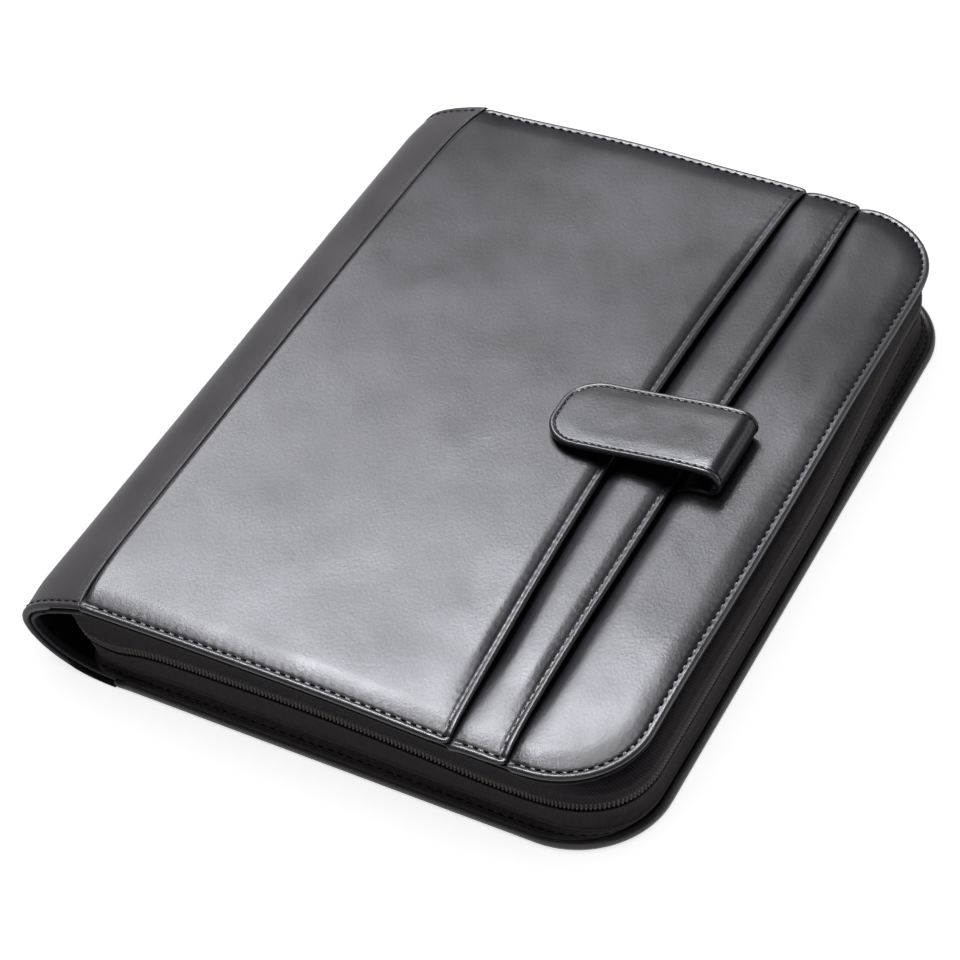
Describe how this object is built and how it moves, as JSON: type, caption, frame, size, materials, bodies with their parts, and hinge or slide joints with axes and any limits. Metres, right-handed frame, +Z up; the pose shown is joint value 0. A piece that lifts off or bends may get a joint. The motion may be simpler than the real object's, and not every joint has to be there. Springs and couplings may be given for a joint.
{
  "type": "leather document case",
  "caption": "Flat padded leather document case with round free corners, zip gusset, rounded spine, open outer pockets and a curled closure strap.",
  "frame": {"origin": "centre of the case's box, on the floor that the back cover lies on", "axes": "+Z up out of the front cover, +Y along the spine, +X from the spine towards the free edge"},
  "size_m": [0.273, 0.35, 0.0585],
  "materials": {
    "leather": "smooth black leather with a fine grain and a soft shine",
    "lining": "black leather-like lining, a little duller",
    "cloth": "fine ribbed black cloth",
    "coil": "black nylon coil",
    "metal": "dark finished metal"
  },
  "bodies": {
    "root": {"back_cover": "leather", "back_lining": "lining", "spine_panel": "leather", "spine_lining": "lining", "front_panel": "leather", "pocket_strip": "leather", "outer_panel": "leather", "front_lining": "lining", "gusset_upper": "cloth", "gusset_lower": "cloth", "zip_tape": "cloth", "zip_coil": "coil", "zip_slider": "metal", "closure_strap": "leather", "strap_snap": "metal"}
  },
  "joints": []
}
